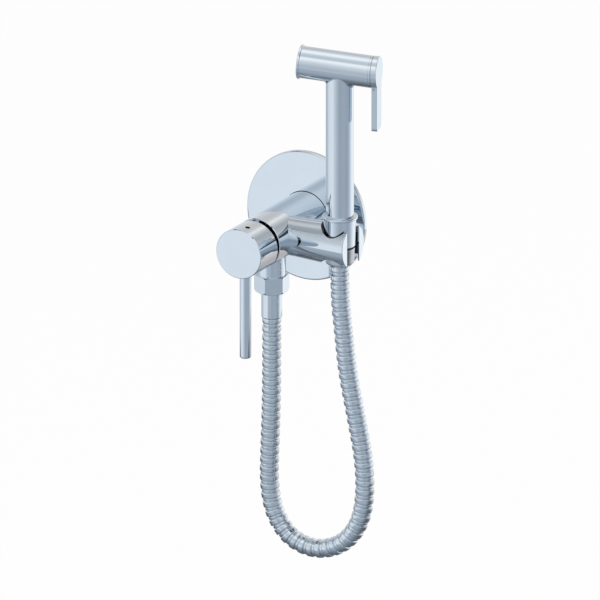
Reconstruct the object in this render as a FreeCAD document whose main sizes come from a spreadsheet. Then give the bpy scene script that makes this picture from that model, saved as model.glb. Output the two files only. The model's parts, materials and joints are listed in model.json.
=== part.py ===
"""Concealed bidet shower: wall mixer with holder arm, ribbed hose and trigger hand spray.

Frame: X to the right, Y into the wall, Z up, millimetres. The origin is the centre of the
wall plate where it meets the wall. Most pieces are turned about one axis, so each is drawn
along its own Z and then placed in one of a few frames.
"""
import FreeCAD
import Part
import Sketcher

import math
import os
import re

# Driving sizes, in millimetres and degrees.
SIZES = {
    # wall plate and its seals
    "plateDia": 105.0,
    "plateThickness": 4.0,
    "plateWall": 1.6,
    "plateHubWall": 2.6,
    "plateEdgeRound": 1.3,
    "gasketWidth": 7.0,
    "gasketInset": 0.2,
    "platePlay": 0.4,
    "plateGrooveOut": 0.8,
    "plateGrooveWidth": 2.0,
    "plateGrooveDepth": 1.53,
    # fits: screwed and pressed together, sliding, and free
    "seatFit": 0.02,
    "threadFit": 0.03,
    "slipFit": 0.05,
    "sealFit": 0.1,
    "drillPlay": 0.2,
    "partGap": 0.3,
    # body in the wall
    "seatDepth": 5.0,
    "flangeDia": 62.0,
    "flangeThickness": 4.0,
    "rearFlangeThickness": 8.0,
    "wallBlockWidth": 48.0,
    "wallBlockHeight": 28.0,
    "wallBlockDepth": 35.5,
    "inletDepth": 22.3,
    "inletSpan": 58.0,
    "inletBossDia": 26.0,
    "inletBoreDia": 19.0,
    "inletThreadLength": 8.0,
    "valveDia": 15.0,
    "valveLength": 7.6,
    "valveSeatX": 11.3,
    "valveMouthDia": 8.0,
    "valveOutletDia": 10.0,
    "valveThroatDia": 6.0,
    "valveThroatEnd": 2.5,
    "valveCollar": 1.6,
    "valveWaist": 0.55,
    "earSpacing": 72.0,
    "earDia": 14.0,
    "earThickness": 5.0,
    "earHoleDia": 5.5,
    # ports between the two bodies
    "portDia": 7.0,
    "channelDia": 9.0,
    "portSpacing": 15.0,
    "portRingDia": 12.2,
    "portRingDepth": 1.4,
    "sealSection": 1.8,
    # screws of the rear flange
    "screwDia": 4.0,
    "screwLength": 10.0,
    "screwHeadDia": 7.0,
    "screwHeadHeight": 2.2,
    "screwCircle": 54.0,
    "screwCount": 4.0,
    "screwKey": 2.0,
    "screwKeyDepth": 1.2,
    # exposed mixer body
    "bodyDia": 40.0,
    "bodyLength": 80.0,
    "bodyWall": 6.0,
    "cavityDepth": 38.0,
    "edgeBreak": 0.5,
    # outlet and hose connector
    "outletOut": 57.5,
    "bossDia": 22.5,
    "bossDrop": 32.0,
    "waterBore": 11.0,
    "nippleThread": 16.0,
    "nippleEngagement": 10.0,
    "pipeThread": 20.9,
    "pipeThreadLength": 9.0,
    "nutFlats": 24.0,
    "nutHeight": 14.0,
    "nutTurn": 23.0,
    "nutTopBreak": 1.2,
    "nutBottomBreak": 2.6,
    "washerDia": 18.6,
    "washerThickness": 1.8,
    "tailFlange": 1.8,
    "stemDia": 14.2,
    "barbDia": 8.4,
    "barbLength": 15.0,
    "tailBore": 6.2,
    "ferruleDia": 16.4,
    "ferruleLength": 20.2,
    # hose
    "hoseDia": 15.0,
    "hoseGrooveDia": 13.2,
    "hoseBoreDia": 12.2,
    "linerWall": 1.55,
    "ribCount": 65.0,
    "ribShare": 0.6,
    "ribFlank": 0.12,
    # holder arm
    "armOut": 50.5,
    "armReach": 56.6,
    "armEnd": 68.5,
    "armRootDia": 31.0,
    "armEndDia": 35.0,
    "armBoreDia": 29.0,
    "slotWidth": 19.2,
    "studDia": 8.0,
    "studLength": 21.0,
    "studKey": 4.0,
    "studKeyDepth": 3.4,
    "linerPlay": 0.05,
    "linerReach": 9.0,
    # hand spray, lower end
    "coneTopDia": 25.6,
    "coneBottomDia": 24.4,
    "coneHeight": 21.5,
    "coneGap": 0.35,
    "collarDia": 28.0,
    "collarHeight": 2.5,
    "collarRound": 1.1,
    "sprayThreadLength": 8.4,
    "ringThickness": 1.2,
    "coneNutTopDia": 24.0,
    "coneNutBottomDia": 22.5,
    "coneNutHeight": 13.5,
    "coneNutDrop": 2.0,
    "coneNutRound": 2.4,
    "threadRingInset": 0.7,
    "skirtDia": 15.4,
    "skirtLength": 2.3,
    # hand spray, tube and head
    "tubeDia": 22.0,
    "tubeBore": 14.0,
    "headHeight": 144.5,
    "headDia": 25.2,
    "headBlend": 2.0,
    "headYaw": 16.0,
    "headPitch": 4.0,
    "headFront": 30.0,
    "headBack": 24.8,
    "lipDia": 27.0,
    "lipThickness": 2.0,
    "faceDia": 19.8,
    "faceThickness": 1.5,
    "faceWall": 1.3,
    "headBore": 21.8,
    "nozzleDia": 1.1,
    "flowHoleDia": 2.0,
    "flowThickness": 2.0,
    "gasketThickness": 1.5,
    "gasketRing": 2.4,
    "flowHoleCount": 8.0,
    "nozzleRows": 3.0,
    "seatStart": -12.0,
    "seatBore": 10.0,
    "seatThickness": 3.5,
    "seatLip": 0.6,
    "chamberDia": 17.6,
    "sealDia": 13.6,
    "sealThickness": 2.5,
    "stemTipDia": 6.0,
    "stemTipLength": 1.8,
    "stemScrewDia": 3.0,
    "stemCollarInset": 0.6,
    "stemCollar": 1.5,
    "stemRodDia": 5.0,
    "stemRodReach": 1.5,
    "stemNeckDia": 2.8,
    "stemBallDia": 4.0,
    "springWire": 0.9,
    "springDia": 9.6,
    "springTurns": 6.0,
    "glandStart": 9.0,
    "glandLength": 11.0,
    "glandInset": 0.55,
    "glandGrooveStart": 4.6,
    "glandGrooveWidth": 1.8,
    "glandGrooveDepth": 1.3,
    "bezelThickness": 1.7,
    "bezelBore": 16.0,
    "spigotInset": 0.9,
    "spigotLength": 3.0,
    # trigger
    "triggerWidth": 16.0,
    "triggerThickness": 4.4,
    "triggerDrop": 46.6,
    "triggerCorner": 3.0,
    "triggerNeck": 4.0,
    "triggerEdge": 0.5,
    "pivotDrop": 12.1,
    "pivotInset": 1.7,
    "pivotPinDia": 1.6,
    "lugDia": 2.8,
    "lugWidth": 5.0,
    "pocketFlare": 0.4,
    "hookDia": 11.0,
    "hookDepth": 3.8,
    "hookSlotUp": 2.4,
    "ballRoom": 3.4,
    # cartridge
    "housingDia": 25.0,
    "housingBore": 22.0,
    "housingBase": 6.0,
    "basePortDia": 5.2,
    "crossDrillDia": 3.6,
    "discPortDia": 4.0,
    "housingRingBack": 8.0,
    "housingRingWidth": 2.2,
    "housingRingDepth": 1.3,
    "basePortWall": 1.6,
    "baseSealDepth": 1.1,
    "shoulderInset": 9.0,
    "shoulderThickness": 3.0,
    "neckDia": 21.0,
    "neckBore": 19.0,
    "neckLength": 13.0,
    "discDia": 20.6,
    "discThickness": 3.0,
    "movingDiscDia": 15.0,
    "discPassWidth": 4.8,
    "discPassDepth": 1.2,
    "driverThickness": 3.0,
    "driverHubDia": 9.0,
    "tailBallDia": 5.0,
    "tailArm": 12.0,
    "tailNeckDia": 3.4,
    "pivotBack": 2.0,
    "turretRise": 4.0,
    "leverPinDia": 3.0,
    "nutRingHeight": 7.5,
    # handle
    "capLength": 30.0,
    "capGapTop": 6.0,
    "capGapBottom": 1.2,
    "capWall": 2.5,
    "capWeb": 16.0,
    "spindleSide": 7.0,
    "spindleInset": 6.0,
    "rodInset": 11.0,
    "rodDia": 9.0,
    "rodEnd": 88.0,
    "rodSeat": 14.0,
    "rodThread": 6.0,
    "rodThreadLength": 5.0,
    "rodRound": 1.5,
    "grubInset": 9.0,
    "grubTurn": 9.0,
    "grubDia": 4.0,
    "grubLength": 6.0,
    "grubKey": 2.0,
    "grubKeyDepth": 2.5,
}

# Places and sizes that follow from the driving ones.
DERIVED = {
    "bodyRadius": "bodyDia / 2",
    "plateBore": "bodyRadius + platePlay",
    "cavityRadius": "bodyRadius - bodyWall",
    "cavityFloor": "bodyLength - cavityDepth",
    "plateGroove": "bodyRadius - plateGrooveDepth",
    "plateGrooveEnd": "plateGrooveOut + plateGrooveWidth",
    "sealRadius": "sealSection / 2 - drillPlay",
    "flangeFront": "flangeThickness - seatDepth",
    "rearFace": "-(seatDepth + rearFlangeThickness)",
    "nutTop": "bossDrop",
    "nutBottom": "bossDrop + nutHeight",
    "washerTop": "bossDrop + pipeThreadLength",
    "tailTop": "washerTop + washerThickness",
    "tailShoulder": "tailTop + tailFlange",
    "ferruleTop": "nutBottom + partGap",
    "ferruleBottom": "ferruleTop + ferruleLength",
    "linerTubeRadius": "hoseBoreDia / 2 - sealFit * 1.5",
    "coneNutTop": "-coneNutDrop",
    "coneNutBottom": "-(coneNutDrop + coneNutHeight)",
    "upperWasherTop": "-(sprayThreadLength + drillPlay)",
    "upperTailTop": "upperWasherTop - washerThickness",
    "upperShoulder": "upperTailTop - tailFlange",
    "hoseTop": "upperShoulder - skirtLength",
    "housingRear": "cavityFloor + partGap",
    "discSeat": "housingRear + housingBase",
    "discMeet": "discSeat + discThickness",
    "driverSeat": "discMeet + discThickness",
    "hubSeat": "driverSeat + driverThickness",
    "shoulderOut": "bodyLength - shoulderInset",
    "housingRingOut": "shoulderOut - housingRingBack",
    "neckOut": "shoulderOut + neckLength",
    "pivotOut": "neckOut - pivotBack",
    "turretOut": "neckOut + turretRise",
    "capFront": "bodyLength + capLength",
    "spindleEnd": "capFront - spindleInset",
    "rodOut": "capFront - rodInset",
    "grubOut": "capFront - grubInset",
    "grubStart": "(spindleSide / 2 + seatFit + sin(grubTurn) * grubDia / 2) / cos(grubTurn)",
    "tailBallOut": "pivotOut - tailArm",
    "turretRear": "hubSeat + partGap",
    "capRear": "bodyLength + capGapBottom",
    "capTilt": "atan((capGapTop - capGapBottom) / bodyDia)",
    "webOut": "capFront - capWeb",
    "headEndHeight": "headHeight - headBack * tan(headPitch * 1 deg)",
    "bezelFace": "headBack + partGap / 3 + bezelThickness",
    "triggerBack": "bezelFace + partGap",
    "triggerFront": "triggerBack + triggerThickness",
    "pivotX": "triggerBack + pivotInset",
    "pivotZ": "headEndHeight - pivotDrop",
    "seatFront": "seatStart",
    "seatBack": "seatFront + seatThickness",
    "sealBack": "seatBack + sealThickness",
    "stemCollarBack": "sealBack + stemCollar",
    "ballX": "triggerBack",
    "faceFront": "-(headFront + lipThickness - partGap)",
    "faceBack": "-(headFront - 6)",
    "boreFit": "headBore / 2 - sealFit",
    "coneSlope": "(coneTopDia - coneBottomDia) / 2 / coneHeight",
    "capInner": "bodyRadius - capWall",
    "glandEnd": "glandStart + glandLength",
    "flangeBack": "faceBack + faceWall",
    "gasketBack": "flangeBack + gasketThickness",
    "flowBack": "gasketBack + flowThickness",
}

# Each frame is a place and a turn for a piece drawn along its own Z.
FRAMES = {
    "out": ("0", "0", "0", "rotationx(90)"),
    "drop": ("0", "-outletOut", "0", "rotationx(180)"),
    "armwise": ("0", "-armOut", "0", "rotationy(90)"),
    "spray": ("armReach", "-armOut", "0", "rotationz(headYaw)"),
    "head": ("armReach", "-armOut", "headHeight", "rotationz(headYaw) * rotationy(90 + headPitch)"),
    "upright": ("armReach", "-armOut", "0", "rotationz(0)"),
    "lever": ("0", "-rodOut", "0", "rotationx(180)"),
    "grub": ("0", "-grubOut", "0", "rotationy(grubTurn)"),
    "bezel": ("armReach", "-armOut", "headEndHeight", "rotationz(headYaw) * rotationy(90)"),
}

# The hose's route, from the outlet ferrule round the loop and up to the hand spray.
HOSE_ROUTE = [
    (0.0, -57.5, -66.5),
    (0.0, -57.5, -96.0),
    (-0.5, -57.2, -138.0),
    (-2.2, -56.8, -176.0),
    (-3.2, -56.4, -206.0),
    (1.5, -56.0, -230.0),
    (15.5, -55.4, -248.0),
    (37.5, -54.6, -254.2),
    (60.5, -53.7, -246.5),
    (75.5, -52.9, -228.0),
    (80.7, -52.3, -203.0),
    (79.0, -51.8, -172.0),
    (72.0, -51.3, -140.0),
    (63.5, -50.9, -102.0),
    (60.2, -50.7, -71.0),
    (56.6, -50.5, -42.5),
    (56.6, -50.5, -14.5),
]

SMALL = 1e-6
BEND_SHARE = 0.45
WORD = re.compile(r"[A-Za-z]\w*")

doc = FreeCAD.newDocument("BidetShower")
sheet = doc.addObject("Spreadsheet::Sheet", "Sizes")
for row, (alias, number) in enumerate(SIZES.items(), start=1):
    sheet.set("A%d" % row, alias)
    sheet.set("B%d" % row, "%s" % number)
    sheet.setAlias("B%d" % row, alias)
doc.recompute()

parts = []


def formula(text):
    """Write a size formula with the sheet's cells in place of the plain names."""
    def spell(match):
        word = match.group(0)
        if word in DERIVED:
            return "(" + formula(DERIVED[word]) + ")"
        return "Sizes." + word if word in SIZES else word
    return WORD.sub(spell, str(text))


def number(text):
    found = sheet.evalExpression(formula(text))
    return float(getattr(found, "Value", found))


def tie(thing, name, text):
    thing.setExpression(name, formula(text))


def put(thing, x="0", y="0", z="0", turn="rotationz(0)"):
    tie(thing, "Placement", "placement(vector(%s; %s; %s); %s)" % (x, y, z, turn))
    return thing


def keep(thing, frame):
    """Label a finished piece as a node and set it in its frame."""
    put(thing, *FRAMES[frame])
    parts.append(thing)
    return thing


def ring_edges(feature, radius, height):
    """Names of the circular edges of this radius at this height."""
    names = []
    for index, edge in enumerate(feature.Shape.Edges, start=1):
        curve = edge.Curve
        if not isinstance(curve, Part.Circle):
            continue
        if abs(curve.Radius - radius) < 1e-4 and abs(curve.Center.z - height) < 1e-4:
            names.append("Edge%d" % index)
    return names


def turned(label, outline, frame=None, rounds=()):
    """A body turned about its own Z. Each point of the outline is (radius, height)."""
    body = doc.addObject("PartDesign::Body", label)
    sketch = body.newObject("Sketcher::SketchObject", label + "Outline")
    plane = [item for item in body.Origin.OriginFeatures if item.Role == "XZ_Plane"][0]
    sketch.AttachmentSupport = [(plane, "")]
    sketch.MapMode = "FlatFace"
    spots = [FreeCAD.Vector(number(r), number(z), 0) for r, z in outline]
    count = len(spots)
    for index, spot in enumerate(spots):
        sketch.addGeometry(Part.LineSegment(spot, spots[(index + 1) % count]))
    for index in range(count):
        sketch.addConstraint(Sketcher.Constraint("Coincident", index, 2, (index + 1) % count, 1))
    for index, (radius, height) in enumerate(outline):
        if radius == "0":
            sketch.addConstraint(Sketcher.Constraint("PointOnObject", index, 1, -2))
        else:
            along = Sketcher.Constraint("DistanceX", -1, 1, index, 1, spots[index].x)
            tie(sketch, "Constraints[%d]" % sketch.addConstraint(along), radius)
        up = Sketcher.Constraint("DistanceY", -1, 1, index, 1, spots[index].y)
        tie(sketch, "Constraints[%d]" % sketch.addConstraint(up), height)
    spin = body.newObject("PartDesign::Revolution", label + "Turn")
    spin.Profile = sketch
    spin.ReferenceAxis = (sketch, ["V_Axis"])
    spin.Angle = 360
    doc.recompute()
    tip = spin
    for order, (radius, height, size) in enumerate(rounds):
        fillet = body.newObject("PartDesign::Fillet", "%sRound%d" % (label, order))
        fillet.Base = (tip, ring_edges(tip, number(radius), number(height)))
        tie(fillet, "Radius", size)
        tip = fillet
        doc.recompute()
    return keep(body, frame) if frame else body


def tube(label, outer, inner, low, high, frame=None, rounds=()):
    outline = [(inner, low), (outer, low), (outer, high), (inner, high)]
    return turned(label, outline, frame, rounds)


def bar(radius, low, high, x="0", y="0", turn="rotationz(0)"):
    """A cylinder for a boolean, along Z unless it is turned about the frame's origin."""
    tool = doc.addObject("Part::Cylinder", "Bar")
    tie(tool, "Radius", radius)
    tie(tool, "Height", "(%s) - (%s)" % (high, low))
    if turn == "rotationz(0)":
        return put(tool, x, y, low)
    if turn == "rotationy(90)":
        return put(tool, low, x, y, turn)
    return put(tool, x, low, y, turn)


def across(radius, low, high, y="0", z="0"):
    """A cylinder along X at this Y and Z."""
    return bar(radius, low, high, y, z, "rotationy(90)")


def upright(radius, low, high, x="0", z="0"):
    """A cylinder along Y at this X and Z."""
    return bar(radius, low, high, x, z, "rotationx(-90)")


def block(x, y, z):
    """A box for a boolean; each side is a (low, high) pair."""
    tool = doc.addObject("Part::Box", "Block")
    for name, (low, high) in zip(("Length", "Width", "Height"), (x, y, z)):
        tie(tool, name, "(%s) - (%s)" % (high, low))
    return put(tool, x[0], y[0], z[0])


def hexagon(flats, low, high, turn="0"):
    tool = doc.addObject("Part::Prism", "Hexagon")
    tool.Polygon = 6
    tie(tool, "Circumradius", "(%s) / sqrt(3)" % flats)
    tie(tool, "Height", "(%s) - (%s)" % (high, low))
    return put(tool, "0", "0", low, "rotationz(%s)" % turn)


def torus(radius, section, x="0", y="0", z="0"):
    tool = doc.addObject("Part::Torus", "Torus")
    tie(tool, "Radius1", radius)
    tie(tool, "Radius2", section)
    return put(tool, x, y, z)


def grouped(things, label):
    """Separate solids, or a single one, under one label."""
    group = doc.addObject("Part::Compound", label)
    group.Links = things
    return group


def joined(things, label="Joined"):
    if len(things) == 1:
        return things[0]
    fuse = doc.addObject("Part::MultiFuse", label)
    fuse.Shapes = things
    return fuse


def cut(base, tools, label="Cut"):
    result = doc.addObject("Part::Cut", label)
    result.Base = base
    result.Tool = joined(tools)
    return result


def common(first, second, label="Common"):
    result = doc.addObject("Part::Common", label)
    result.Base = first
    result.Tool = second
    return result


def span(sign, near, far):
    """A low and high end on the side that the sign gives."""
    if sign == "-1":
        return "-(%s)" % far, "-(%s)" % near
    return near, far


def wall_pieces():
    """The body in the wall with its check valves, and the plate that hides it."""
    half = "inletSpan / 2"
    flange = bar("flangeDia / 2", "rearFace", "-seatDepth")
    core = block(("-wallBlockWidth / 2", "wallBlockWidth / 2"),
                 ("-wallBlockHeight / 2", "wallBlockHeight / 2"), ("-wallBlockDepth", "rearFace"))
    boss = across("inletBossDia / 2", "-(%s)" % half, half, "0", "-inletDepth")
    strap = block(("-earDia / 2", "earDia / 2"), ("-earSpacing / 2", "earSpacing / 2"),
                  ("-(seatDepth + earThickness)", "-seatDepth"))
    ears = [bar("earDia / 2", "-(seatDepth + earThickness)", "-seatDepth", "0", place)
            for place in ("-earSpacing / 2", "earSpacing / 2")]
    holes = [bar("earHoleDia / 2", "-wallBlockDepth", "0", "0", place)
             for place in ("-earSpacing / 2", "earSpacing / 2")]
    for sign in ("-1", "1"):
        for radius, near in (("inletBoreDia / 2", half + " - inletThreadLength"),
                             ("valveDia / 2", "valveSeatX"),
                             ("channelDia / 2", "portSpacing / 2 - portDia / 4")):
            low, high = span(sign, near, half)
            holes.append(across(radius, low, high, "0", "-inletDepth"))
        holes.append(bar("portDia / 2", "-inletDepth", "-seatDepth", sign + " * portSpacing / 2"))
    holes += screw_bars("screwDia / 2", "-(screwLength + seatDepth)", "-seatDepth")
    shell = joined([flange, core, boss, strap] + ears)
    keep(cut(shell, holes, "in_wall_body"), "out")

    collar = "valveDia / 2 - slipFit"
    waist = collar + " - valveWaist"
    for sign, label in (("-1", "check_valve_hot"), ("1", "check_valve_cold")):
        turn = "rotationy(90 * %s)" % sign
        step = "valveCollar + valveWaist"
        body = turned(label, [
            ("valveMouthDia / 2", "0"), (collar, "0"), (collar, "valveCollar"), (waist, step),
            (waist, "valveLength - (%s)" % step), (collar, "valveLength - valveCollar"),
            (collar, "valveLength"), ("valveOutletDia / 2", "valveLength"),
            ("valveThroatDia / 2", "valveLength - valveThroatEnd"),
            ("valveThroatDia / 2", "valveThroatEnd")])
        put(body, sign + " * valveSeatX", "inletDepth", "0", turn)
        parts.append(body)

    rim = "plateDia / 2 - plateWall"
    face = "plateThickness - plateWall"
    hub = "plateBore + plateHubWall"
    turned("wall_plate", [(rim, "0"), ("plateDia / 2", "0"), ("plateDia / 2", "plateThickness"),
                          ("plateBore", "plateThickness"), ("plateBore", "partGap"),
                          (hub, "partGap"), (hub, face), (rim, face)], "out",
           [("plateDia / 2", "plateThickness", "plateEdgeRound")])
    tube("plate_gasket", rim + " - gasketInset", rim + " - gasketWidth", "0", face, "out")
    pressed_ring("plate_o_ring", "plateGroove + sealFit", "plateBore - seatFit",
                 "plateGrooveOut + sealFit", "plateGrooveEnd - sealFit")


def pressed_ring(label, inner, outer, low, high):
    """A rubber ring squeezed in its groove, with the corners of its section taken off."""
    more = " + sealSection / 4"
    less = " - sealSection / 4"
    turned(label, [
        (inner, low + more), (inner + more, low), (outer + less, low), (outer, low + more),
        (outer, high + less), (outer + less, high), (inner + more, high), (inner, high + less)],
        "out")


def screw_bars(radius, low, high):
    """One bar for each screw of the rear flange, on their circle."""
    bars = []
    for index in range(int(SIZES["screwCount"])):
        angle = "(45 + %d * 360 / screwCount) * 1 deg" % index
        bars.append(bar(radius, low, high, "screwCircle / 2 * cos(%s)" % angle,
                        "screwCircle / 2 * sin(%s)" % angle))
    return bars


def mixer_body():
    """The exposed body: rear flange, barrel, cartridge cavity, ports and outlet boss."""
    barrel = turned("Barrel", [
        ("0", "-seatDepth"), ("flangeDia / 2", "-seatDepth"), ("flangeDia / 2", "flangeFront"),
        ("bodyRadius", "flangeFront"), ("bodyRadius", "plateGrooveOut"),
        ("plateGroove", "plateGrooveOut"), ("plateGroove", "plateGrooveEnd"),
        ("bodyRadius", "plateGrooveEnd"), ("bodyRadius", "bodyLength - edgeBreak"),
        ("bodyRadius - edgeBreak", "bodyLength"), ("cavityRadius", "bodyLength"),
        ("cavityRadius", "cavityFloor"), ("0", "cavityFloor")])
    boss = upright("bossDia / 2", "-bossDrop", "-cavityRadius - 1", "0", "outletOut")
    holes = [upright("nippleThread / 2", "-bossDrop", "-(bossDrop - nippleEngagement)", "0", "outletOut"),
             upright("waterBore / 2", "-bossDrop", "-cavityRadius + 2", "0", "outletOut"),
             across("studDia / 2", "cavityRadius - 3", "bodyRadius + 1", "0", "armOut"),
             bar("cavityRadius", "cavityFloor", "bodyLength")]
    for sign in ("-1", "1"):
        place = sign + " * portSpacing / 2"
        holes.append(bar("portDia / 2", "-seatDepth", "cavityFloor", place))
        walls = [bar("(portRingDia %s sealSection) / 2" % side, "-seatDepth",
                     "-seatDepth + portRingDepth", place) for side in "+-"]
        holes.append(cut(walls[0], walls[1:]))
    holes += screw_bars("screwDia / 2 + drillPlay", "-seatDepth", "flangeFront")
    keep(cut(joined([barrel, boss]), holes, "mixer_body"), "out")

    rings = [torus("portRingDia / 2", "sealRadius", sign + " * portSpacing / 2", "0",
                   "-seatDepth + portRingDepth / 2") for sign in ("-1", "1")]
    keep(grouped(rings, "channel_o_rings"), "out")
    heads = screw_bars("screwHeadDia / 2", "flangeFront", "flangeFront + screwHeadHeight")
    shanks = screw_bars("screwDia / 2 - threadFit", "flangeFront - screwLength", "flangeFront + 1")
    keys = screw_bars("screwKey / 2", "flangeFront + screwHeadHeight - screwKeyDepth",
                      "flangeFront + screwHeadHeight")
    keep(cut(joined(heads + shanks), keys, "body_screws"), "out")


def arm_pieces():
    """The flared arm that carries the hand spray, its stud and its plastic liner."""
    cone = turned("ArmCone", [("0", "0"), ("armRootDia / 2", "0"), ("armRootDia / 2", "bodyRadius"),
                              ("armEndDia / 2", "armEnd"), ("0", "armEnd")], None,
                  [("armEndDia / 2", "armEnd", "edgeBreak")])
    tools = [upright("bodyRadius + seatFit", "-armEnd", "armEnd"),
             across("armBoreDia / 2", "-armEndDia", "armEndDia", "0", "armReach"),
             block(("-armEndDia", "armEndDia"), ("-slotWidth / 2", "slotWidth / 2"),
                   ("armReach", "armEnd + 1")),
             bar("studDia / 2", "cavityRadius", "cavityRadius + studLength + edgeBreak")]
    keep(cut(cone, tools, "holder_arm"), "armwise")

    stud = bar("studDia / 2 - threadFit", "cavityRadius + partGap", "cavityRadius + studLength")
    key = hexagon("studKey", "cavityRadius", "cavityRadius + studKeyDepth")
    keep(cut(stud, [key], "arm_stud"), "armwise")

    outer = "armBoreDia / 2 - linerPlay"
    low = "coneBottomDia / 2 + coneGap - coneSlope * linerReach"
    high = "coneBottomDia / 2 + coneGap + coneSlope * linerReach"
    ring = turned("LinerRing", [(low, "-linerReach"), (outer, "-linerReach"), (outer, "linerReach"),
                                (high, "linerReach")])
    mouth = block(("0", "armBoreDia"), ("-slotWidth / 2", "slotWidth / 2"),
                  ("-linerReach - 1", "linerReach + 1"))
    keep(cut(ring, [mouth], "holder_liner"), "upright")


def outlet_pieces():
    """What carries the water from the boss into the hose: nipple, nut, washer, tail, ferrule."""
    thread = "pipeThread / 2"
    turned("outlet_nipple", [
        ("waterBore / 2", "bossDrop - nippleEngagement"),
        ("nippleThread / 2 - threadFit", "bossDrop - nippleEngagement"),
        ("nippleThread / 2 - threadFit", "bossDrop"), (thread, "bossDrop"),
        (thread, "washerTop"), ("waterBore / 2", "washerTop")], "drop")
    corner = "nutFlats / sqrt(3)"
    shape = turned("NutShape", [
        ("0", "nutTop"), (corner + " - nutTopBreak", "nutTop"), (corner, "nutTop + nutTopBreak / 2"),
        (corner, "nutBottom - nutBottomBreak"),
        (corner + " - nutBottomBreak * 0.3", "nutBottom - nutBottomBreak * 0.45"),
        (corner + " - nutBottomBreak", "nutBottom"), ("0", "nutBottom")])
    solid = common(hexagon("nutFlats", "nutTop", "nutBottom", "nutTurn"), shape)
    keep(cut(solid, [bar(thread + " + slipFit", "nutTop", "tailShoulder"),
                     bar("stemDia / 2 + sealFit", "tailShoulder - 1", "nutBottom")], "hose_nut"), "drop")
    tube("hose_washer", "washerDia / 2", "waterBore / 2", "washerTop", "tailTop", "drop")
    turned("hose_tail", tail_outline("tailTop", "tailShoulder", "ferruleTop",
                                     "ferruleTop + barbLength"), "drop")
    tube("hose_ferrule", "ferruleDia / 2", "linerTubeRadius + sealFit", "ferruleTop", "ferruleBottom",
         "drop", [("ferruleDia / 2", "ferruleTop", "edgeBreak"),
                  ("ferruleDia / 2", "ferruleBottom", "edgeBreak")])


def tail_outline(top, shoulder, stem, end):
    """A hose tail: a flange, a stem and a barb over which the inner tube is pushed."""
    bore = "tailBore / 2"
    return [(bore, top), ("washerDia / 2", top), ("washerDia / 2", shoulder),
            ("stemDia / 2", shoulder), ("stemDia / 2", stem), ("barbDia / 2", stem),
            ("barbDia / 2", end), (bore, end)]


def cone_nut_pieces():
    """The conical nut that joins the hose to the hand spray, and what it presses together."""
    thread = "pipeThread / 2 + slipFit"
    throat = "skirtDia / 2 + partGap"
    shelf = "upperShoulder - sealFit"
    turned("cone_nut", [
        (thread, "coneNutTop"), ("coneNutTopDia / 2", "coneNutTop"),
        ("coneNutBottomDia / 2", "coneNutBottom"), (throat, "coneNutBottom"),
        (throat, shelf), (thread, shelf)],
           "upright", [("coneNutBottomDia / 2", "coneNutBottom", "coneNutRound"),
                       ("coneNutTopDia / 2", "coneNutTop", "edgeBreak")])
    tube("cone_washer", "washerDia / 2", "waterBore / 2", "upperTailTop", "upperWasherTop", "upright")
    end = "hoseTop - barbLength"
    bore = "tailBore / 2"
    turned("cone_tail", [(bore, "upperTailTop"), ("washerDia / 2", "upperTailTop"),
                         ("washerDia / 2", "upperShoulder"), ("skirtDia / 2", "upperShoulder"),
                         ("skirtDia / 2", "hoseTop"), ("barbDia / 2", "hoseTop"),
                         ("barbDia / 2", end), (bore, end)], "upright")
    tube("thread_ring", "coneNutTopDia / 2 - threadRingInset", thread,
         "coneNutTop + drillPlay", "coneNutTop + drillPlay + ringThickness", "upright")


def along_head(radius, low, high):
    """A cylinder along the pitched head, in the hand spray's own frame."""
    tool = doc.addObject("Part::Cylinder", "HeadBar")
    tie(tool, "Radius", radius)
    tie(tool, "Height", "(%s) - (%s)" % (high, low))
    return put(tool, "(%s) * cos(headPitch * 1 deg)" % low, "0",
               "headHeight - (%s) * sin(headPitch * 1 deg)" % low, "rotationy(90 + headPitch)")


def spray_body():
    """The brass hand spray: thread, cone, collar, tube and the head across its top."""
    thread = "pipeThread / 2 - slipFit"
    stick = turned("SprayStick", [
        ("0", "-sprayThreadLength"), (thread, "-sprayThreadLength"), (thread, "0"),
        ("coneBottomDia / 2", "0"), ("coneTopDia / 2", "coneHeight"),
        ("collarDia / 2", "coneHeight"), ("collarDia / 2", "coneHeight + collarHeight"),
        ("tubeDia / 2", "coneHeight + collarHeight"), ("tubeDia / 2", "headHeight"),
        ("0", "headHeight")], None,
                   [("collarDia / 2", "coneHeight + collarHeight", "collarRound"),
                    ("collarDia / 2", "coneHeight", "edgeBreak")])
    head = along_head("headDia / 2", "-headFront", "headBack + 3")
    tools = [
        block(("headBack", "headBack + 10"), ("-headDia", "headDia"),
              ("headHeight - headDia", "headHeight + headDia")),
        along_head("headBore / 2", "-headFront", "flowBack"),
        along_head("tubeBore / 2", "flowBack - 1", "seatFront + 1"),
        along_head("chamberDia / 2", "seatFront", "glandStart + 1"),
        along_head("headBore / 2 - 0.5", "glandStart", "headBack + 3"),
        bar("waterBore / 2", "-sprayThreadLength", "coneHeight"),
        bar("tubeBore / 2", "coneHeight - 1", "headHeight")]
    blend = soften(joined([stick, head]), "headBlend", crossing)
    keep(cut(blend, tools, "spray_body"), "spray")


def soften(base, size, wanted):
    """Round the edges of a shape that the test picks."""
    doc.recompute()
    soft = doc.addObject("Part::Fillet", "Soft")
    soft.Base = base
    soft.Edges = [(index, number(size), number(size))
                  for index, edge in enumerate(base.Shape.Edges, start=1) if wanted(edge)]
    return soft


def crossing(edge):
    """True for the curved line where two round forms cross."""
    return not isinstance(edge.Curve, (Part.Line, Part.Circle))


def outermost(edge):
    """True for the edges round the trigger's front face."""
    front = number("triggerFront")
    return all(abs(corner.Point.x - front) < SMALL for corner in edge.Vertexes)


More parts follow.
